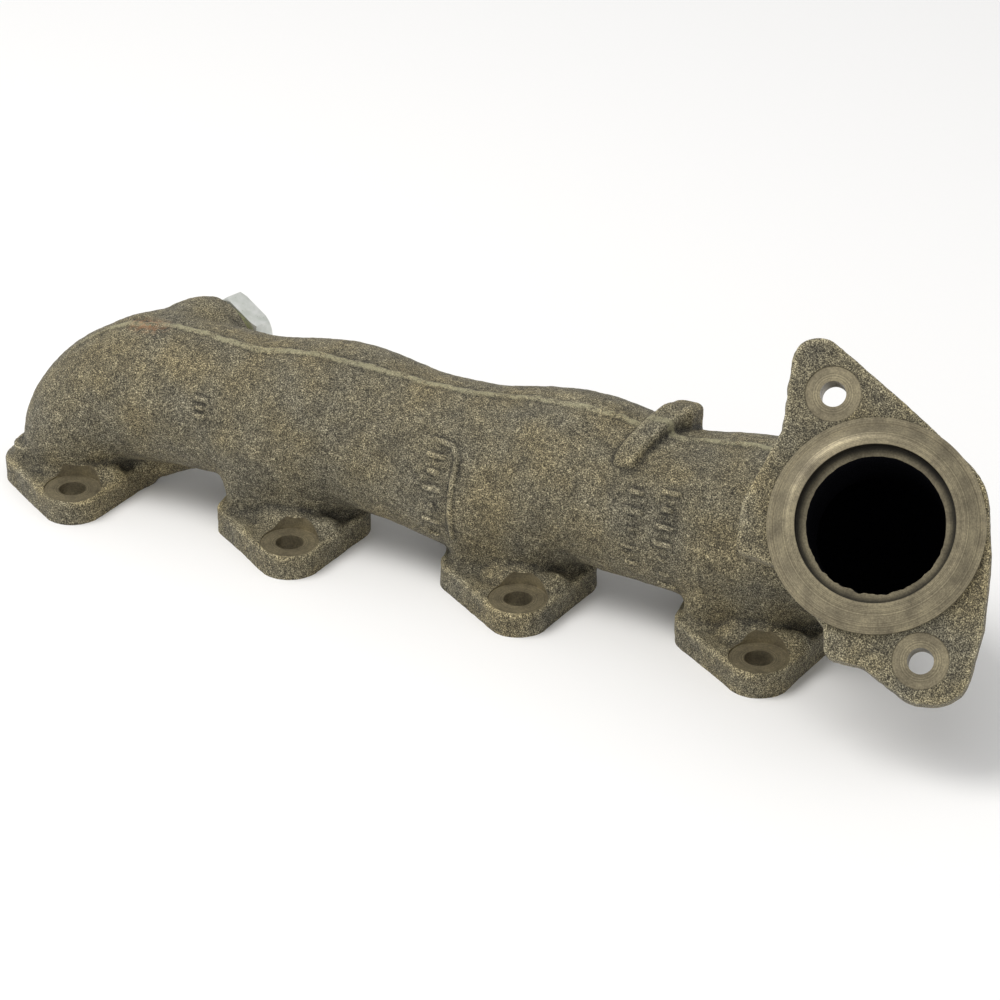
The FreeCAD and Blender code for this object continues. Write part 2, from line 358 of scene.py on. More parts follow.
class Clay:
    """A block of space holding the distance to a shape that grows piece by piece."""

    def __init__(self, low, high):
        self.low = np.array(low, dtype=np.float64)
        self.count = np.ceil((np.array(high) - self.low) / CLAY_STEP).astype(int) + 1
        self.field = np.full(self.count, FAR, dtype=np.float32)

    def window(self, low, high):
        first = np.floor((np.array(low) - self.low) / CLAY_STEP).astype(int)
        last = np.ceil((np.array(high) - self.low) / CLAY_STEP).astype(int) + 1
        first = np.clip(first, 0, self.count)
        last = np.clip(last, 0, self.count)
        axes = [self.low[k] + CLAY_STEP * np.arange(first[k], last[k]) for k in range(3)]
        parts = tuple(slice(first[k], last[k]) for k in range(3))
        x, y, z = (axis.astype(np.float32) for axis in axes)
        return parts, x[:, None, None], y[None, :, None], z[None, None, :]

    def add(self, distance, low, high, width=0.0):
        """Melt a piece in. distance(x, y, z) is worked out only between low and high."""
        margin = width + FAR / 2
        low = [value - margin for value in low]
        high = [value + margin for value in high]
        parts, x, y, z = self.window(low, high)
        self.field[parts] = melt(self.field[parts], distance(x, y, z), width)

    def add_tube(self, points, radii, width=0.0):
        """A tube through points, with a radius at each."""
        for start, end, r1, r2 in zip(points, points[1:], radii, radii[1:]):
            reach = max(r1, r2)
            low = [min(a, b) - reach for a, b in zip(start, end)]
            high = [max(a, b) + reach for a, b in zip(start, end)]
            self.add(limb(start, end, r1, r2), low, high, width)

    def add_column(self, circles, centre, low, high, edge, width=0.0):
        """An upright column with a belted outline."""
        outline = [(px + centre.x, py + centre.y) for px, py in belt(circles)]
        xs, ys = zip(*outline)

        def distance(x, y, z):
            flat = outline_distance(x + 0 * y, y + 0 * x, outline)
            return slab(flat, z, low, high, edge)

        self.add(distance, (min(xs), min(ys), low), (max(xs), max(ys), high), width)

    def sample(self, points):
        """Value of the field at points given in metres."""
        place = (points / MM - self.low) / CLAY_STEP
        base = np.clip(np.floor(place).astype(int), 0, self.count - 2)
        part = np.clip(place - base, 0, 1)
        total = np.zeros(len(points))
        for corner in range(8):
            step = np.array([corner & 1, corner >> 1 & 1, corner >> 2 & 1])
            weight = np.prod(np.where(step, part, 1 - part), axis=1)
            index = base + step
            total += weight * self.field[index[:, 0], index[:, 1], index[:, 2]]
        return total


def limb(start, end, r1, r2):
    """Distance to a round limb from start to end whose radius goes from r1 to r2."""
    start, end = np.array(start), np.array(end)
    line = end - start
    length = float(line @ line)

    def distance(x, y, z):
        wx, wy, wz = x - start[0], y - start[1], z - start[2]
        along = np.clip((wx * line[0] + wy * line[1] + wz * line[2]) / length, 0, 1)
        gap = (wx - along * line[0]) ** 2 + (wy - along * line[1]) ** 2 + (wz - along * line[2]) ** 2
        return np.sqrt(gap) - (r1 + (r2 - r1) * along)

    return distance


def egg(centre, half_length, radius):
    """Distance to an egg that lies along X."""
    def distance(x, y, z):
        wx, wy, wz = (x - centre[0]) / half_length, (y - centre[1]) / radius, (z - centre[2]) / radius
        k0 = np.sqrt(wx ** 2 + wy ** 2 + wz ** 2) + 1e-6
        k1 = np.sqrt((wx / half_length) ** 2 + (wy / radius) ** 2 + (wz / radius) ** 2) + 1e-6
        return k0 * (k0 - 1) / k1
    return distance


def into(placement, x, y, z):
    """Coordinates of points in a placement's own axes."""
    back = placement.inverted()
    return [back[row][0] * x + back[row][1] * y + back[row][2] * z + back[row][3] for row in range(3)]


def grain(count, cells, seed):
    """Smooth random lumps from -1 to 1, about cells grid steps across."""
    random = np.random.default_rng(seed)
    coarse = np.ceil(count / cells).astype(int) + 2
    lumps = random.uniform(-1, 1, coarse).astype(np.float32)
    for axis in range(3):
        place = np.arange(count[axis]) / cells
        base = np.floor(place).astype(int)
        part = place - base
        part = (part * part * (3 - 2 * part)).astype(np.float32)
        shape = [1, 1, 1]
        shape[axis] = -1
        part = part.reshape(shape)
        lumps = np.take(lumps, base, axis) * (1 - part) + np.take(lumps, base + 1, axis) * part
    return lumps


# ---------------------------------------------------------------- the casting in clay

def spline_through(rows, steps):
    """Points and radii on a smooth curve through (point, radius) rows."""
    rows = [(*point, radius) for point, radius in rows]
    rows = [tuple(2 * a - b for a, b in zip(rows[0], rows[1]))] + rows
    rows.append(tuple(2 * a - b for a, b in zip(rows[-1], rows[-2])))
    curve = []
    for p0, p1, p2, p3 in zip(rows, rows[1:], rows[2:], rows[3:]):
        for step in range(steps):
            t = step / steps
            curve.append([
                0.5 * (2 * b + (c - a) * t + (2 * a - 5 * b + 4 * c - d) * t * t
                       + (3 * b - a - 3 * c + d) * t ** 3)
                for a, b, c, d in zip(p0, p1, p2, p3)
            ])
    curve.append(list(rows[-2]))
    return [point[:3] for point in curve], [point[3] for point in curve]


def neck_points(steps=16):
    """The log's axis from its start, round the bend, and on along the outlet axis."""
    steps_back = (OUTLET_CENTRE.z - LOG_Z) / OUTLET_AXIS.z
    meet = OUTLET_CENTRE - OUTLET_AXIS * steps_back
    corner = Vector((meet.x, LOG_Y, LOG_Z))
    start = corner - X_AXIS * NECK_LEG
    turn = X_AXIS.angle(OUTLET_AXIS)
    hinge = X_AXIS.cross(OUTLET_AXIS).normalized()
    pivot = start + hinge.cross(X_AXIS).normalized() * (NECK_LEG / math.tan(turn / 2))
    points = [Vector((LOG_START_X, LOG_Y, LOG_Z))]
    for step in range(steps + 1):
        spoke = Matrix.Rotation(turn * step / steps, 3, hinge) @ (start - pivot)
        points.append(pivot + spoke)
    return points


def add_pipework(clay, shrink):
    """Elbow, log and neck, thinner all round by shrink."""
    points, radii = spline_through(ELBOW, 4)
    clay.add_tube(points, [radius - shrink for radius in radii])
    neck = neck_points() + [OUTLET_CENTRE - OUTLET_AXIS * 3]
    clay.add_tube(neck, [LOG_RADIUS - shrink] * len(neck))


def add_plate(clay):
    """Outlet plate with the core of the seat."""
    outline = rounded(PLATE_CORNERS)

    def distance(x, y, z):
        a, b, c = into(OUTLET, x, y, z)
        close = np.abs(c + PLATE_THICKNESS / 2) < PLATE_THICKNESS
        flat = np.full(a.shape, FAR, dtype=np.float32)
        flat[close] = outline_distance(a[close], b[close], outline)
        plate = slab(flat, c, -PLATE_THICKNESS, 0.0, PLATE_EDGE)
        core = slab(np.hypot(a, b) - SEAT_CORE_RADIUS, c, -PLATE_THICKNESS, SEAT_CORE_TOP, 0.5)
        return np.minimum(plate, core)

    corners = [OUTLET @ Vector((a, b, c)) for a in (-52, 44) for b in (-66, 70) for c in (-12, 6)]
    low = [min(corner[k] for corner in corners) for k in range(3)]
    high = [max(corner[k] for corner in corners) for k in range(3)]
    clay.add(distance, low, high, PLATE_MELT)
    for across, up, out, radius in PLATE_LUMPS:
        lump = OUTLET @ Vector((across, up, out))
        ends = [lump, lump + OUTLET_AXIS * PLATE_LUMP_LENGTH]
        clay.add_tube(ends, [radius] * 2, PLATE_LUMP_MELT)


def add_boss(clay):
    """Take-off boss on the elbow, which holds the adapter."""
    shoulder = BOSS_FACE - BOSS_AXIS * BOSS_SHOULDER
    points = [BOSS_ROOT, shoulder, BOSS_FACE]
    clay.add_tube(points, [BOSS_ROOT_RADIUS, BOSS_SHOULDER_RADIUS, BOSS_RADIUS], BOSS_MELT)


def add_lug(clay):
    """Lug on the crown of the log."""
    plan = rounded(LUG_PLAN)
    profile = rounded(LUG_PROFILE)

    def distance(x, y, z):
        seen_from_above = outline_distance(x + 0 * y, y + 0 * x, plan)
        seen_from_the_side = outline_distance(y + 0 * z, z + 0 * y, profile)
        return -melt(-seen_from_above, -seen_from_the_side, LUG_ROUNDING)

    clay.add(distance, *LUG_BOX, LUG_MELT)


def seam_y(x):
    """Where the parting line crosses the crown, which wanders a little along the casting."""
    y = np.interp(x, [place for place, _ in SEAM_PATH], [across for _, across in SEAM_PATH])
    for height, length in SEAM_WAVES:
        y = y + height * np.sin(x / length)
    return y


def add_seam(clay):
    """Parting ridge along the crown: the pipework swollen a little, within a narrow strip."""
    parts, x, y, z = clay.window((SEAM_START_X, -10, 0), (SEAM_END_X, 30, 90))
    swollen = clay.field[parts] - SEAM_HEIGHT
    strip = np.abs(y - seam_y(x)) - SEAM_WIDTH / 2
    ridge = np.maximum(swollen, np.maximum(strip, LOG_Z - z))
    clay.field[parts] = melt(clay.field[parts], ridge, SEAM_MELT)


def on_skin(clay, x, angle, lift):
    """Point at a height over the log's skin, with angle in degrees up from its near side."""
    turn = math.radians(angle)
    out = Vector((0.0, -math.cos(turn), math.sin(turn)))
    centre = Vector((x, LOG_Y, LOG_Z))
    reaches = np.arange(LOG_RADIUS - 5.0, LOG_RADIUS + 12.0, 0.25)
    outside = clay.sample(np.array([centre + out * reach for reach in reaches]) * MM) > 0
    return centre + out * (reaches[np.argmax(outside)] + lift)


def add_foundry_marks(clay):
    """Raised border and rows of plain bars and dots, where a foundry casts its own marks."""
    marks = []
    for corners in MARK_BORDERS:
        for (x1, angle1), (x2, angle2) in zip(corners, corners[1:]):
            steps = max(2, round(abs(angle2 - angle1) / MARK_STEP_DEGREES))
            marks.append([
                on_skin(clay, x1 + (x2 - x1) * part, angle1 + (angle2 - angle1) * part, MARK_LIFT)
                for part in np.linspace(0, 1, steps + 1)
            ])
    for x, first_angle, last_angle, lengths in MARK_COLUMNS:
        for angle, length in zip(np.linspace(first_angle, last_angle, len(lengths)), lengths):
            marks.append([
                on_skin(clay, x - length / 2, angle, MARK_LIFT),
                on_skin(clay, x + length / 2, angle, MARK_LIFT),
            ])
    for points in marks:
        clay.add_tube(points, [MARK_RADIUS] * len(points), MARK_MELT)


def clay_box():
    """The CAD box with a little room, in millimetres."""
    low, high = cad_box
    return [value / MM - CLAY_MARGIN for value in low], [value / MM + CLAY_MARGIN for value in high]


def raw_casting():
    """The casting as it leaves the sand, still solid."""
    clay = Clay(*clay_box())
    add_pipework(clay, 0.0)
    shoulders = [(centre, RUNNER_SHOULDER_LENGTH, RUNNER_SHOULDER_RADIUS) for centre in RUNNER_SHOULDERS]
    for centre, half_length, radius in BULGES + shoulders:
        low = (centre[0] - half_length, centre[1] - radius, centre[2] - radius)
        high = (centre[0] + half_length, centre[1] + radius, centre[2] + radius)
        clay.add(egg(centre, half_length, radius), low, high, BULGE_MELT)
    add_boss(clay)
    for number, centre in enumerate(PORTS):
        top, width = (LOG_Z, RUNNER_MELT) if number else (PORT_1_COLUMN_TOP, PORT_1_MELT)
        clay.add_column(RUNNER_CORNERS, centre, COLUMN_START, top, RUNNER_EDGE, width)
        clay.add_column(FLANGE_CORNERS, centre, COLUMN_START, FLANGE_TOP, FLANGE_EDGE, FOOT_MELT)
        land = [centre + Vector(end) for end in FOOT_LAND]
        clay.add_tube(land, [FOOT_LAND_RADIUS] * len(land), FOOT_LAND_MELT)
    for start, end, r1, r2, width in WEBS:
        clay.add_tube([start, end], [r1, r2], width)
    add_seam(clay)
    add_plate(clay)
    add_lug(clay)
    add_foundry_marks(clay)
    return clay


def gas_space():
    """The hollow: ports, elbow, log and neck."""
    clay = Clay(*clay_box())
    add_pipework(clay, WALL)
    mouth = [OUTLET_CENTRE - OUTLET_AXIS * MOUTH_DEPTH, OUTLET_CENTRE + OUTLET_AXIS * MOUTH_REACH]
    clay.add_tube(mouth, [OUTLET_BORE_RADIUS] * 2)
    for number, centre in enumerate(PORTS):
        top = LOG_Z if number else PORT_1_COLUMN_TOP
        shrunk = [(x, y, radius - WALL) for x, y, radius in RUNNER_CORNERS]
        clay.add_column(shrunk, centre, DUCT_START, top, DUCT_EDGE, DUCT_MELT)
    return clay


def mesh_from_clay(clay, name):
    """Skin of the clay, where the distance is nought."""
    limit = 3.0 * CLAY_STEP
    grid = openvdb.FloatGrid(limit)
    grid.copyFromArray(np.clip(clay.field, -limit, limit))
    points, quads = grid.convertToQuads(isovalue=0.0)
    points = (points * CLAY_STEP + clay.low) * MM
    return mesh_from_arrays(points, quads, name)


# ---------------------------------------------------------------- mesh helpers

def mesh_from_arrays(points, quads, name):
    mesh = bpy.data.meshes.new(name)
    mesh.vertices.add(len(points))
    mesh.vertices.foreach_set("co", np.ascontiguousarray(points, dtype=np.float32).ravel())
    mesh.loops.add(quads.size)
    mesh.loops.foreach_set("vertex_index", np.ascontiguousarray(quads, dtype=np.int32).ravel())
    mesh.polygons.add(len(quads))
    mesh.polygons.foreach_set("loop_start", np.arange(len(quads), dtype=np.int32) * 4)
    mesh.update(calc_edges=True)
    mesh.validate()
    return mesh


def new_object(name, mesh):
    piece = bpy.data.objects.new(name, mesh)
    bpy.context.scene.collection.objects.link(piece)
    return piece


def turned_mesh(name, profile, placement, sides=160):
    """A closed profile of (radius, height) points turned round the placement's Z."""
    points, faces = [], []
    count = len(profile)
    for side in range(sides):
        angle = 2 * math.pi * side / sides
        for radius, height in profile:
            local = Vector((radius * math.cos(angle), radius * math.sin(angle), height))
            points.append((placement @ local) * MM)
    for side in range(sides):
        here, there = side * count, (side + 1) % sides * count
        for k in range(count):
            following = (k + 1) % count
            faces.append((here + k, here + following, there + following, there + k))
    mesh = bpy.data.meshes.new(name)
    mesh.from_pydata(points, [], faces)
    merge_doubles(mesh)
    return mesh


def merge_doubles(mesh):
    work = bmesh.new()
    work.from_mesh(mesh)
    bmesh.ops.remove_doubles(work, verts=work.verts, dist=1e-7)
    bmesh.ops.dissolve_degenerate(work, edges=work.edges, dist=1e-7)
    bmesh.ops.recalc_face_normals(work, faces=work.faces)
    work.to_mesh(mesh)
    work.free()


def joined(meshes):
    """One mesh out of several."""
    points, faces = [], []
    for mesh in meshes:
        first = len(points)
        points.extend(vertex.co[:] for vertex in mesh.vertices)
        faces.extend([first + index for index in face.vertices] for face in mesh.polygons)
        bpy.data.meshes.remove(mesh)
    whole = bpy.data.meshes.new("tools")
    whole.from_pydata(points, [], faces)
    return whole


def carve(piece, tool_mesh, operation="DIFFERENCE", material=None):
    """Cut a tool out of a piece, or join it on, with exact edges."""
    if material:
        tool_mesh.materials.append(material)
    tool = new_object("tool", tool_mesh)
    cut = piece.modifiers.new("cut", "BOOLEAN")
    cut.operation = operation
    cut.solver = "MANIFOLD"
    cut.material_mode = "TRANSFER"
    cut.object = tool
    graph = bpy.context.evaluated_depsgraph_get()
    result = bpy.data.meshes.new_from_object(piece.evaluated_get(graph))
    piece.modifiers.remove(cut)
    bpy.data.objects.remove(tool)
    old = piece.data
    piece.data = result
    bpy.data.meshes.remove(old)
    bpy.data.meshes.remove(tool_mesh)


def stepped_drill(placement, *steps):
    """Tool made of drums one above the other: each step is (radius, low, high)."""
    profile = [(0.0, steps[0][1])]
    for radius, low, high in steps:
        profile.extend([(radius, low), (radius, high)])
    profile.append((0.0, steps[-1][2]))
    return turned_mesh("drill", profile, placement)


# ---------------------------------------------------------------- camera, floor and light

def set_camera():
    azimuth, elevation = math.radians(CAMERA_AZIMUTH), math.radians(CAMERA_ELEVATION)
    back = Vector((
        math.sin(azimuth) * math.cos(elevation),
        -math.cos(azimuth) * math.cos(elevation),
        math.sin(elevation),
    ))
    camera = bpy.data.objects.new("camera", bpy.data.cameras.new("camera"))
    camera.data.sensor_width = CAMERA_SENSOR
    camera.data.lens = CAMERA_LENS
    camera.location = CAMERA_TARGET + back * CAMERA_DISTANCE
    camera.rotation_euler = back.to_track_quat("Z", "Y").to_euler()
    bpy.context.scene.collection.objects.link(camera)
    bpy.context.scene.camera = camera


def add_area_light(name, place, size, power, colour):
    light = bpy.data.lights.new(name, "AREA")
    light.shape = "RECTANGLE"
    light.size = size
    light.size_y = size
    light.energy = power
    light.color = colour
    lamp = bpy.data.objects.new(name, light)
    lamp.location = place
    lamp.rotation_euler = (Vector(place) - Vector(LIGHT_TARGET)).to_track_quat("Z", "Y").to_euler()
    bpy.context.scene.collection.objects.link(lamp)


def set_studio():
    scene = bpy.context.scene
    scene.view_settings.view_transform = "Standard"
    world = bpy.data.worlds.new("studio")
    scene.world = world
    world.use_nodes = True
    sky = world.node_tree.nodes["Background"]
    sky.inputs["Color"].default_value = (1.0, 1.0, 1.0, 1.0)
    sky.inputs["Strength"].default_value = SKY_STRENGTH
    add_area_light("key", (-0.35, -0.45, 1.45), 0.9, 15.0, (1.0, 0.98, 0.95))
    add_area_light("fill", (1.4, -0.9, 0.7), 0.8, 2.4, (1.0, 0.97, 0.92))


def add_floor():
    mesh = bpy.data.meshes.new("floor")
    half = FLOOR_HALF_WIDTH
    corners = [(-half, -half, 0), (half, -half, 0), (half, half, 0), (-half, half, 0)]
    mesh.from_pydata(corners, [], [(0, 1, 2, 3)])
    floor = new_object("floor", mesh)
    material = bpy.data.materials.new("paper")
    material.use_nodes = True
    shader = material.node_tree.nodes["Principled BSDF"]
    shader.inputs["Base Color"].default_value = (0.93, 0.93, 0.93, 1.0)
    shader.inputs["Roughness"].default_value = 0.9
    mesh.materials.append(material)


# ---------------------------------------------------------------- the casting as an object

def passage_chips(clay):
    """Roughness of the gas passages, which is greatest low in the outlet's mouth."""
    _, x, y, z = clay.window(clay.low, clay.low + clay.count * CLAY_STEP)
    below = np.clip(-into(OUTLET, x, y, z)[1] / OUTLET_BORE_RADIUS, CHIP_LEAST, 1.0)
    return grain(clay.count, CHIP_SIZE / CLAY_STEP, CHIP_SEED) * CHIP_HEIGHT * below


def machining_tools():
    """Recess in the seat, thread hole and face of the boss, and every hole with its spotface."""
    tools = [
        stepped_drill(OUTLET, (SEAT_RECESS_RADIUS, SEAT_LEDGE, OUTLET_CUT_TOP)),
        stepped_drill(
            BOSS,
            (THREAD_RADIUS, -THREAD_IN_BOSS, -BOSS_FACING_DEPTH),
            (BOSS_FACING_RADIUS, -BOSS_FACING_DEPTH, BOSS_CUT_TOP),
        ),
    ]
    for side in (NEAR, FAR_SIDE):
        tools.append(stepped_drill(
            OUTLET @ Matrix.Translation(PLATE_HOLE * side),
            (PLATE_HOLE_RADIUS, PLATE_HOLE_START, -PLATE_SPOTFACE_DEPTH),
            (PLATE_SPOTFACE_RADIUS, -PLATE_SPOTFACE_DEPTH, OUTLET_CUT_TOP),
        ))
        for centre in PORTS:
            tools.append(stepped_drill(
                Matrix.Translation(centre + STUD_OFFSET * side),
                (STUD_HOLE_RADIUS, STUD_HOLE_START, SPOTFACE_FLOOR),
                (SPOTFACE_RADIUS, SPOTFACE_FLOOR, SPOTFACE_FLOOR + SPOTFACE_REACH[side]),
            ))
    return joined(tools)


def make_casting(cast, machined):
    """Cast, hollow out, machine and mark the manifold."""
    clay = raw_casting()
    hollow = gas_space()
    for index, (across, height) in enumerate(SKIN_LUMPS):
        clay.field += grain(clay.count, across / CLAY_STEP, SKIN_SEED + index) * height
    skin = Clay(*clay_box())
    skin.field = clay.field.copy()
    clay.field = np.maximum(clay.field, -(hollow.field + passage_chips(clay)))
    mesh = mesh_from_clay(clay, "casting")
    mesh.materials.append(cast)
    casting = new_object("casting", mesh)
    carve(casting, turned_mesh("seat", SEAT_PROFILE, OUTLET), "UNION", machined)
    under = Matrix.Translation((UNDERCUT_X, 0.0, 0.0))
    carve(casting, stepped_drill(under, (UNDERCUT_RADIUS, UNDERCUT_START, 0.0)), material=machined)
    carve(casting, machining_tools(), material=machined)
    paint_marks(casting.data, skin, hollow)
    casting.data.shade_smooth()
    casting.data.set_sharp_from_angle(angle=math.radians(38))
    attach(casting, "root")
    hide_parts("manifold_casting")


def softened(field, reach):
    """The field averaged over a few steps each way along every axis."""
    for axis in range(3):
        width = 2 * reach + 1
        summed = np.cumsum(field, axis=axis, dtype=np.float64)
        size = field.shape[axis]
        ahead = np.take(summed, np.minimum(np.arange(size) + reach, size - 1), axis)
        behind = np.take(summed, np.maximum(np.arange(size) - reach - 1, 0), axis)
        field = ((ahead - behind) / width).astype(np.float32)
    return field


def axis_distance(points, placement):
    """How far points are from a placement's Z axis, in millimetres."""
    centre = np.array(placement.translation)
    axis = np.array(placement.col[2][:3])
    offset = points / MM - centre
    return np.linalg.norm(offset - np.outer(offset @ axis, axis), axis=1)


def turning_axes():
    """Placements of the round tools, apart from the one that turned the seat."""
    places = [BOSS]
    for side in (NEAR, FAR_SIDE):
        places.append(OUTLET @ Matrix.Translation(PLATE_HOLE * side))
        places.extend(Matrix.Translation(centre + STUD_OFFSET * side) for centre in PORTS)
    return places


def paint_marks(mesh, skin, hollow):
    """Store what the materials need at each vertex: soot, hollows and ridges for painted shade and
    highlight, the strip of painted highlight on the parting ridge, tool marks, painted shade and soot by
    the seat recess, rust.
    """
    points = np.zeros(len(mesh.vertices) * 3)
    mesh.vertices.foreach_get("co", points)
    points = points.reshape(-1, 3)
    x, y, z = (points / MM).T
    soot = np.clip(SOOT_REACH - hollow.sample(points), 0, 1)
    # Concavity: below 0.5 in hollows and creases, above 0.5 on ridges and edges. It drives painted shade,
    # with some dirt, in hollows and a painted highlight on ridges.
    level = skin.field
    skin.field = softened(level, max(1, round(CORNER_REACH / CLAY_STEP))) - level
    corner = np.clip(0.5 + skin.sample(points) * CORNER_GAIN, 0, 1)
    # Strip along the parting ridge on the crown, painted pale as a highlight.
    off_seam = np.abs(y - seam_y(x)) / (SEAM_WIDTH / 2)
    seam_highlight = np.clip(2.0 - 1.3 * off_seam, 0, 1) * (z > SEAM_LOWEST_Z)
    seam_highlight *= np.clip((x - SEAM_START_X) / SEAM_FADE, 0, 1) * np.clip((SEAM_END_X - x) / SEAM_FADE, 0, 1)
    turning = np.min([axis_distance(points, place) for place in turning_axes()], axis=0)
    from_outlet = axis_distance(points, OUTLET)
    turning = np.where(from_outlet < SEAT_ZONE_RADIUS, from_outlet, turning)
    # Painted shade, with some soot: a band round the recess radius, between the ledge and the seat's top.
    recess_wall = 1 - np.abs(from_outlet - SEAT_RECESS_RADIUS) / RECESS_SHADE_AND_SOOT_WIDTH
    seat_height = (points / MM - np.array(OUTLET_CENTRE)) @ np.array(OUTLET_AXIS)
    recess_shade_and_soot = np.clip(recess_wall, 0, 1) * (seat_height < SEAT_TOP - 0.5) * (seat_height > 0)
    from_rust = np.linalg.norm((points / MM - np.array(RUST_SPOT)) * RUST_STRETCH, axis=1)
    rust = np.clip(1.2 - from_rust / RUST_REACH, 0, 1)
    marks = {
        "soot": soot, "corner": corner, "seam_highlight": seam_highlight, "turning": turning, "recess_shade_and_soot": recess_shade_and_soot, "rust": rust,
    }
    for name, values in marks.items():
        layer = mesh.attributes.new(name, "FLOAT", "POINT")
        layer.data.foreach_set("value", values.astype(np.float32))


# ---------------------------------------------------------------- the adapter

def threaded_shank():
    """Cylinder with a real helical thread, from inside the boss into the hexagon."""
    low, high = -THREAD_IN_BOSS + THREAD_RUN_OUT, THREAD_GAP + THREAD_INTO_HEX
    rows = round((high - low) / THREAD_PITCH * THREAD_ROWS_PER_TURN)
    sides = THREAD_SIDES
    points = [(BOSS @ Vector((0, 0, low))) * MM]
    for row in range(rows + 1):
        height = low + (high - low) * row / rows
        for side in range(sides):
            turn = side / sides
            phase = (height / THREAD_PITCH - turn) % 1.0
            radius = THREAD_RADIUS - THREAD_DEPTH * abs(2 * phase - 1)
            angle = 2 * math.pi * turn
            local = Vector((radius * math.cos(angle), radius * math.sin(angle), height))
            points.append((BOSS @ local) * MM)
    points.append((BOSS @ Vector((0, 0, high))) * MM)
    last = len(points) - 1
    top = 1 + rows * sides
    faces = []
    for side in range(sides):
        following = (side + 1) % sides
        faces.append((0, 1 + following, 1 + side))
        faces.append((last, top + side, top + following))
        for row in range(rows):
            here, there = 1 + row * sides, 1 + (row + 1) * sides
            faces.append((here + side, here + following, there + following, there + side))
    mesh = bpy.data.meshes.new("shank")
    mesh.from_pydata(points, [], faces)
    return mesh


def blank_hexagon(start, end):
    """Plain hexagonal bar between two heights over the boss."""
    corner_radius = HEX_ACROSS_FLATS / math.sqrt(3)
    points = []
    for height in (start, end):
        for side in range(6):
            angle = math.radians(60 * side + HEX_ROLL)
            spoke = Vector((corner_radius * math.cos(angle), corner_radius * math.sin(angle), height))
            points.append((BOSS @ spoke) * MM)
    faces = [tuple(range(5, -1, -1)), tuple(range(6, 12))]
    faces += [(side, (side + 1) % 6, (side + 1) % 6 + 6, side + 6) for side in range(6)]
    mesh = bpy.data.meshes.new("hexagon")
    mesh.from_pydata(points, [], faces)
    return mesh


def soften_edges(piece, width):
    """Round a piece's sharp edges."""
    bevel = piece.modifiers.new("soften", "BEVEL")
    bevel.width = width * MM
    bevel.segments = 3
    bevel.angle_limit = math.radians(25)
    graph = bpy.context.evaluated_depsgraph_get()
    rounded_mesh = bpy.data.meshes.new_from_object(piece.evaluated_get(graph))
    piece.modifiers.remove(bevel)
    piece.data = rounded_mesh


def make_adapter(plated, thread_metal):
    """Hexagon with a threaded shank and a socket for the tube."""
    start, end = THREAD_GAP, THREAD_GAP + HEX_THICKNESS
    hexagon = blank_hexagon(start, end)
    hexagon.materials.append(plated)
    adapter = new_object("adapter", hexagon)
    narrow = HEX_ACROSS_FLATS / 2 + HEX_CHAMFER_START
    spread = narrow + HEX_THICKNESS / 2 * HEX_CHAMFER_SLOPE
    cone = [(0, start), (narrow, start), (spread, (start + end) / 2), (narrow, end), (0, end)]
    carve(adapter, turned_mesh("cones", cone, BOSS), "INTERSECT", plated)
    soften_edges(adapter, HEX_EDGE)
    carve(adapter, threaded_shank(), "UNION", thread_metal)
    socket_floor = end - SOCKET_DEPTH
    socket = stepped_drill(
        BOSS, (PASSAGE_RADIUS, -THREAD_IN_BOSS - 2, socket_floor), (SOCKET_RADIUS, socket_floor, end + 2)
    )
    carve(adapter, socket, material=plated)
    adapter.data.shade_smooth()
    adapter.data.set_sharp_from_angle(angle=math.radians(28))
    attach(adapter, "root")
    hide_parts("egr_tube_adapter")


# ---------------------------------------------------------------- materials

class Paint:
    """A node material, with short ways to add nodes and join them up."""

    def __init__(self, name):
        self.material = bpy.data.materials.new(name)
        self.material.use_nodes = True
        self.tree = self.material.node_tree
        self.shader = self.tree.nodes["Principled BSDF"]
        self.place = self.node("ShaderNodeTexCoord").outputs["Object"]

    def node(self, kind, **settings):
        made = self.tree.nodes.new(kind)
        for key, value in settings.items():
            setattr(made, key, value)
        return made

    def feed(self, socket, value):
        if isinstance(value, bpy.types.NodeSocket):
            self.tree.links.new(value, socket)
        else:
            socket.default_value = value

    def noise(self, size_mm, detail=2.0, rough=0.55, stretch=None):
        made = self.node("ShaderNodeTexNoise")
        self.feed(made.inputs["Vector"], stretch or self.place)
        made.inputs["Scale"].default_value = 1.0 / (size_mm * MM)
        made.inputs["Detail"].default_value = detail
        made.inputs["Roughness"].default_value = rough
        return made.outputs["Fac"]

    def ramp(self, value, stops):
        made = self.node("ShaderNodeValToRGB")
        self.feed(made.inputs["Fac"], value)
        elements = made.color_ramp.elements
        while len(elements) < len(stops):
            elements.new(0.5)
        for element, (place, colour) in zip(elements, stops):
            element.position = place
            if not isinstance(colour, tuple):
                colour = (colour, colour, colour)
            element.color = (*colour, 1.0)
        return made.outputs["Color"]

    def mix(self, amount, a, b, blend="MIX"):
        made = self.node("ShaderNodeMix", data_type="RGBA", blend_type=blend)
        self.feed(made.inputs["Factor"], amount)
        sockets = [i for i in made.inputs if i.type == "RGBA"]
        for socket, value in zip(sockets, (a, b)):
            if isinstance(value, tuple):
                value = (*value, 1.0)
            self.feed(socket, value)
        return [o for o in made.outputs if o.type == "RGBA"][0]

    def math(self, operation, a, b=0.0):
        made = self.node("ShaderNodeMath", operation=operation)
        self.feed(made.inputs[0], a)
        self.feed(made.inputs[1], b)
        return made.outputs[0]

    def attribute(self, name):
        return self.node("ShaderNodeAttribute", attribute_name=name).outputs["Fac"]

    def bump(self, height, strength, distance_mm, normal=None):
        made = self.node("ShaderNodeBump")
        made.inputs["Strength"].default_value = strength
        made.inputs["Distance"].default_value = distance_mm * MM
        self.feed(made.inputs["Height"], height)
        if normal:
            self.feed(made.inputs["Normal"], normal)
        return made.outputs["Normal"]


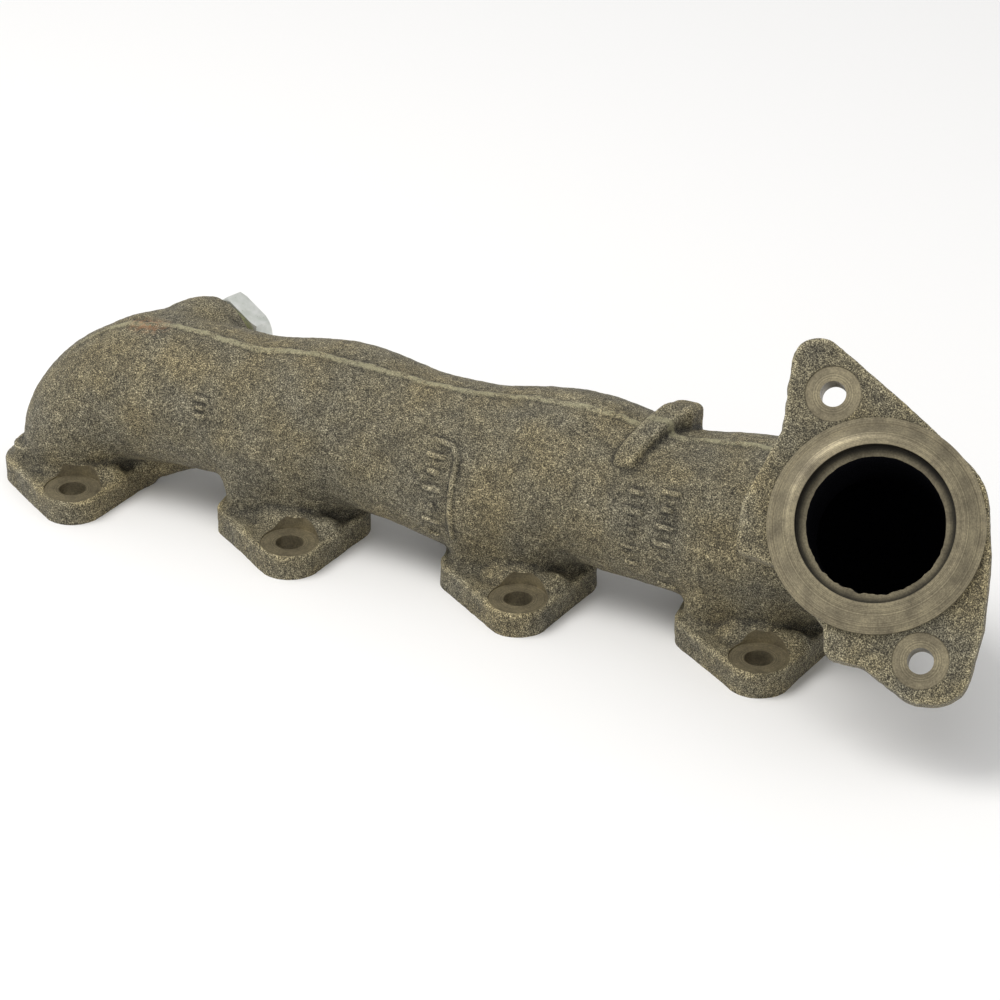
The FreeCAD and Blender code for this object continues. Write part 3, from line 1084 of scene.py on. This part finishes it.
def cast_skin():
    """Sand-cast iron: speckled grain, brown to olive patches, painted shade and some dirt in hollows,
    painted highlight on ridges and along the parting ridge, soot inside.
    """
    paint = Paint("cast_iron")
    speckle = paint.noise(0.48, 2.0, 0.6)
    clusters = paint.noise(2.0, 3.0, 0.6)
    patches = paint.noise(24.0, 3.0, 0.5)
    blotches = paint.noise(8.0, 4.0, 0.6)
    share = paint.math("MULTIPLY", clusters, 0.15)
    grains = paint.math("ADD", paint.math("MULTIPLY", speckle, 0.85), share)
    colour = paint.ramp(grains, [
        (0.34, (0.014, 0.012, 0.007)), (0.44, (0.062, 0.054, 0.034)),
        (0.52, (0.138, 0.122, 0.080)), (0.60, (0.300, 0.268, 0.178)), (0.70, (0.58, 0.53, 0.38)),
    ])
    tint = paint.ramp(patches, [
        (0.35, (0.90, 0.91, 0.92)), (0.5, (1.0, 0.98, 0.90)), (0.65, (1.10, 1.03, 0.84)),
    ])
    colour = paint.mix(1.0, colour, tint, "MULTIPLY")
    stain = paint.ramp(blotches, [(0.34, 0.74), (0.5, 1.0), (0.66, 1.16)])
    colour = paint.mix(1.0, colour, stain, "MULTIPLY")
    # Painted shade, with some dirt, darkens hollows and creases, and a painted highlight lightens ridges
    # and edges.
    dirt_shade_and_highlight = paint.ramp(paint.attribute("corner"), [(0.2, 0.36), (0.5, 1.0), (0.85, 1.6)])
    colour = paint.mix(1.0, colour, dirt_shade_and_highlight, "MULTIPLY")
    # Painted highlight: a pale strip along the parting ridge on the crown, broken up by grain.
    seam_grain = paint.ramp(paint.noise(4.0, 4.0, 0.7), [(0.40, 0.05), (0.56, 1.0)])
    seam_highlight = paint.math("MULTIPLY", paint.attribute("seam_highlight"), seam_grain)
    colour = paint.mix(paint.math("MULTIPLY", seam_highlight, 0.7), colour, (0.33, 0.31, 0.19))
    rust = paint.math("MULTIPLY", paint.attribute("rust"), paint.ramp(clusters, [(0.42, 0.0), (0.6, 0.7)]))
    colour = paint.mix(rust, colour, (0.30, 0.14, 0.06))
    soot = paint.attribute("soot")
    colour = paint.mix(soot, colour, (0.006, 0.006, 0.008))
    paint.feed(paint.shader.inputs["Base Color"], colour)
    roughness = paint.ramp(speckle, [(0.35, 0.85), (0.7, 0.5)])
    paint.feed(paint.shader.inputs["Roughness"], roughness)
    shine = paint.ramp(soot, [(0.0, 0.5), (1.0, 0.02)])
    paint.feed(paint.shader.inputs["Specular IOR Level"], shine)
    coarse = paint.bump(clusters, 0.5, 0.9)
    paint.feed(paint.shader.inputs["Normal"], paint.bump(speckle, 0.9, 0.5, coarse))
    return paint.material


def machined_iron():
    """Turned iron: fine rings round each tool axis, tan to grey, stained in places, with painted shade and
    some soot on the ledge beside the recess wall.
    """
    paint = Paint("machined_iron")
    radius = paint.attribute("turning")
    rings = paint.node("ShaderNodeTexNoise", noise_dimensions="1D")
    paint.feed(rings.inputs["W"], radius)
    rings.inputs["Scale"].default_value = 2.2
    rings.inputs["Detail"].default_value = 3.0
    lines = rings.outputs["Fac"]
    stains = paint.noise(9.0, 4.0, 0.6)
    specks = paint.noise(0.7, 2.0, 0.6)
    colour = paint.ramp(stains, [
        (0.30, (0.150, 0.128, 0.084)), (0.5, (0.230, 0.198, 0.128)), (0.7, (0.310, 0.268, 0.170)),
    ])
    # Painted shade, with some soot, darkens the ledge next to the recess wall.
    recess_shade_and_soot = paint.ramp(paint.attribute("recess_shade_and_soot"), [(0.0, 1.0), (0.8, 0.1)])
    colour = paint.mix(1.0, colour, recess_shade_and_soot, "MULTIPLY")
    colour = paint.mix(1.0, colour, paint.ramp(lines, [(0.35, 0.78), (0.65, 1.22)]), "MULTIPLY")
    pits = paint.ramp(specks, [(0.3, 0.72), (0.55, 1.0), (0.75, 1.25)])
    colour = paint.mix(1.0, colour, pits, "MULTIPLY")
    paint.feed(paint.shader.inputs["Base Color"], colour)
    paint.feed(paint.shader.inputs["Roughness"], paint.ramp(stains, [(0.3, 0.5), (0.7, 0.38)]))
    paint.shader.inputs["Metallic"].default_value = 0.55
    ringed = paint.bump(lines, 0.25, 0.15)
    paint.feed(paint.shader.inputs["Normal"], paint.bump(specks, 0.25, 0.12, ringed))
    return paint.material


def zinc_plate():
    """Bright zinc with a faint milky bloom, small dark specks and handling marks."""
    paint = Paint("zinc_plate")
    bloom = paint.noise(5.0, 3.0, 0.55)
    specks = paint.noise(0.9, 2.0, 0.6)
    colour = paint.ramp(bloom, [(0.3, (0.60, 0.63, 0.58)), (0.7, (0.82, 0.83, 0.80))])
    colour = paint.mix(1.0, colour, paint.ramp(specks, [(0.24, 0.25), (0.31, 1.0)]), "MULTIPLY")
    paint.feed(paint.shader.inputs["Base Color"], colour)
    paint.feed(paint.shader.inputs["Roughness"], paint.ramp(bloom, [(0.3, 0.42), (0.7, 0.28)]))
    paint.shader.inputs["Metallic"].default_value = 0.75
    paint.feed(paint.shader.inputs["Normal"], paint.bump(bloom, 0.15, 0.2))
    return paint.material


def yellow_passivate():
    """Thread with a yellow-green passivated film."""
    paint = Paint("yellow_passivate")
    film = paint.noise(2.5, 3.0, 0.6)
    colour = paint.ramp(film, [
        (0.3, (0.22, 0.24, 0.07)), (0.55, (0.42, 0.42, 0.14)), (0.75, (0.60, 0.55, 0.25)),
    ])
    paint.feed(paint.shader.inputs["Base Color"], colour)
    paint.feed(paint.shader.inputs["Roughness"], paint.ramp(film, [(0.3, 0.5), (0.7, 0.3)]))
    paint.shader.inputs["Metallic"].default_value = 0.7
    return paint.material


# ---------------------------------------------------------------- make everything

set_camera()
set_studio()
add_floor()
make_casting(cast_skin(), machined_iron())
make_adapter(zinc_plate(), yellow_passivate())
